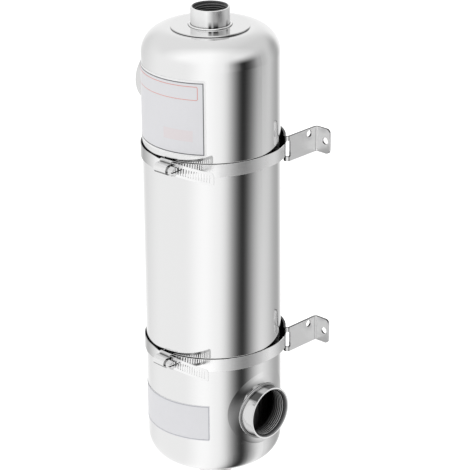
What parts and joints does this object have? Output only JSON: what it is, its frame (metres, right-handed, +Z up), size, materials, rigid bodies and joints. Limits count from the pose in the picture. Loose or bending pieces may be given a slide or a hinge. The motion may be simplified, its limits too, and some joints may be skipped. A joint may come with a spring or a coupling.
{
  "type": "pool heat exchanger",
  "caption": "Upright polished stainless shell-and-tube pool heat exchanger with threaded end and side couplings, hung from slotted wall brackets by worm-drive clamps",
  "frame": {"origin": "on the wall face of the upper bracket's foot, at the centre of its screw hole", "axes": "+Y into the wall, +Z up along the vessel, +X towards the lower side coupling"},
  "size_m": [0.1522, 0.169, 0.485],
  "materials": {
    "polished_stainless": "polished stainless steel sheet, mirror bright",
    "machined_stainless": "turned stainless steel",
    "weld_stainless": "cleaned stainless weld bead",
    "clamp_steel": "bright rolled stainless strip",
    "screw_steel": "bright plated steel",
    "bracket_steel": "satin stainless strip",
    "tube_stainless": "dull drawn stainless tube",
    "label_film": "thin silver grey film"
  },
  "bodies": {
    "root": {"shell": "polished_stainless", "top_head": "polished_stainless", "bottom_head": "polished_stainless", "top_pad": "polished_stainless", "bottom_pad": "polished_stainless", "top_port": "machined_stainless", "bottom_port": "machined_stainless", "lower_side_port": "machined_stainless", "upper_side_port": "machined_stainless", "top_port_weld": "weld_stainless", "bottom_port_weld": "weld_stainless", "lower_side_port_weld": "weld_stainless", "upper_side_port_weld": "weld_stainless", "top_tube_sheet": "tube_stainless", "bottom_tube_sheet": "tube_stainless", "tube_bundle": "tube_stainless", "upper_clamp_band": "clamp_steel", "lower_clamp_band": "clamp_steel", "upper_clamp_housing": "clamp_steel", "lower_clamp_housing": "clamp_steel", "upper_clamp_screw": "screw_steel", "lower_clamp_screw": "screw_steel", "upper_bracket": "bracket_steel", "lower_bracket": "bracket_steel"}
  },
  "joints": []
}
